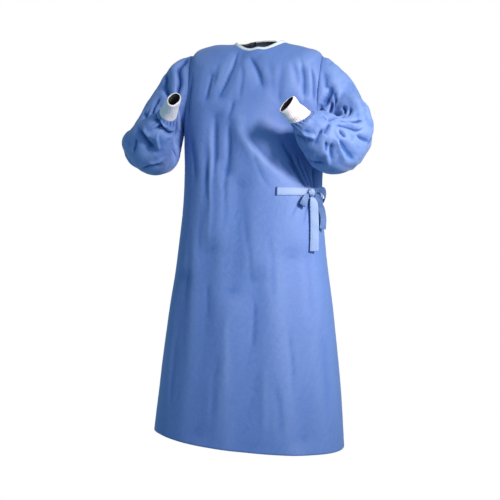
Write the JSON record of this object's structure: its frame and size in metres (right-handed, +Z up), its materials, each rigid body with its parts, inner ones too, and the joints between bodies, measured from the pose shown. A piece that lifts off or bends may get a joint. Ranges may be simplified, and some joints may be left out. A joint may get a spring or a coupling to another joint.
{
  "type": "surgical gown",
  "caption": "Long-sleeved wrap-back surgical gown in worn shape, with bound neck, knitted cuffs and a waist belt tied in a bow at the wearer's left side.",
  "frame": {"origin": "midway between the shoulders on the shoulder line, level with the shoulder seams at the neck, where the wearer carries the gown", "axes": "+Z up along the length of the gown, +Y towards the wearer's back, so the front faces -Y, and +X towards the wearer's left"},
  "size_m": [0.7337, 0.4797, 1.2238],
  "materials": {
    "gown_cloth": "matt blue nonwoven",
    "cuff_knit": "white knitted rib",
    "neck_tape": "white matt binding",
    "belt_cloth": "light blue matt nonwoven",
    "tack_thread": "dark blue thread"
  },
  "bodies": {
    "root": {"front": "gown_cloth", "back_right": "gown_cloth", "back_left": "gown_cloth", "sleeve_right": "gown_cloth", "sleeve_left": "gown_cloth", "cuff_right": "cuff_knit", "cuff_left": "cuff_knit", "neck_binding": "neck_tape", "belt_front": "belt_cloth", "belt_tack": "tack_thread", "belt_back": "belt_cloth", "belt_knot": "belt_cloth", "belt_loop_front": "belt_cloth", "belt_loop_back": "belt_cloth", "belt_end_long": "belt_cloth", "belt_end_short": "belt_cloth"}
  },
  "joints": []
}
